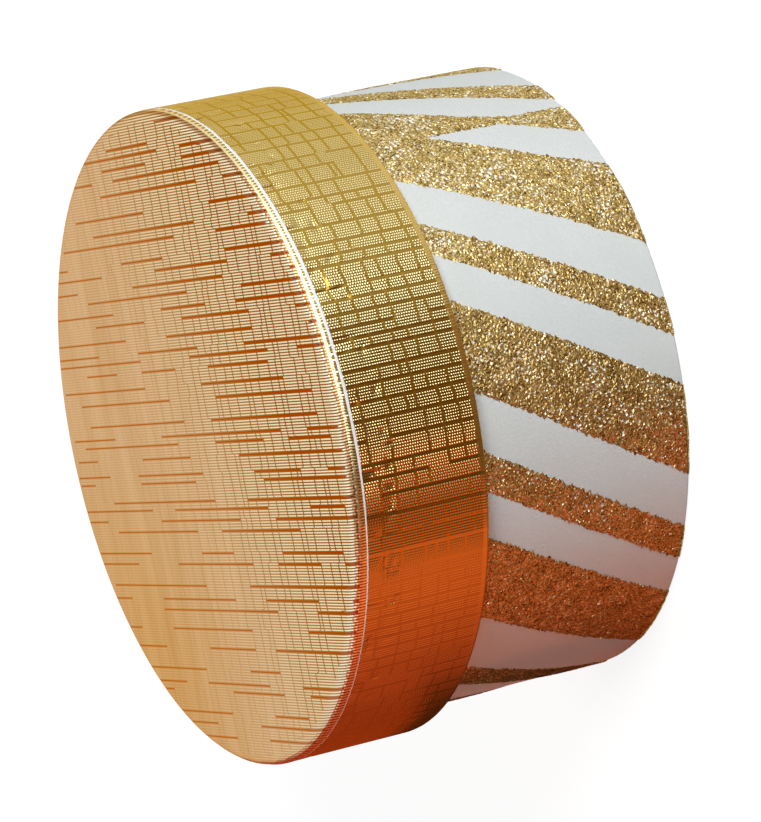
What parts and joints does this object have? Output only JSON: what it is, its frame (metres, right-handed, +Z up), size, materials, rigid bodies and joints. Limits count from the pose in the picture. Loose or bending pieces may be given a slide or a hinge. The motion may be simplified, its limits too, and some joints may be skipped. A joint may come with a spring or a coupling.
{
  "type": "round gift box",
  "caption": "Squat round rigid gift box in white paper with slanting gold glitter bands, and a lift-off lid in ribbed gold paper.",
  "frame": {"origin": "centre of the box's underside, where it stands", "axes": "+Z up the box's axis, from its foot to the lid's top; the ribs of the lid's top paper run along Y, and -Y is the side that the picture shows"},
  "size_m": [0.08, 0.08, 0.0461],
  "materials": {
    "board": "bare grey board",
    "white_wrap": "matt white paper",
    "white_liner": "smooth white lining paper",
    "gold_wrap": "embossed yellow-gold foil paper",
    "gold_top": "embossed rose-gold foil paper with a white core",
    "gold_glitter": "loose-grained gold glitter flakes"
  },
  "bodies": {
    "base": {"base_wall_board": "board", "base_floor_board": "board", "base_side_wrap": "white_wrap", "base_bottom_paper": "white_wrap", "base_wall_liner": "white_liner", "base_floor_liner": "white_liner", "glitter_stripe_01": "gold_glitter", "glitter_stripe_02": "gold_glitter", "glitter_stripe_03": "gold_glitter", "glitter_stripe_04": "gold_glitter", "glitter_stripe_05": "gold_glitter", "glitter_stripe_06": "gold_glitter", "glitter_stripe_07": "gold_glitter", "glitter_stripe_08": "gold_glitter", "glitter_stripe_09": "gold_glitter", "glitter_stripe_10": "gold_glitter", "glitter_stripe_11": "gold_glitter", "glitter_stripe_12": "gold_glitter", "glitter_stripe_13": "gold_glitter", "glitter_stripe_14": "gold_glitter", "glitter_stripe_15": "gold_glitter"},
    "lid": {"lid_rim_board": "board", "lid_top_board": "board", "lid_rim_wrap": "gold_wrap", "lid_top_paper": "gold_top", "lid_rim_liner": "white_liner", "lid_top_liner": "white_liner"}
  },
  "joints": [
    {"name": "lid_lift", "type": "slide", "parent": "base", "child": "lid", "axis": [0, 0, 1], "range_m": [0, 0.04]}
  ]
}
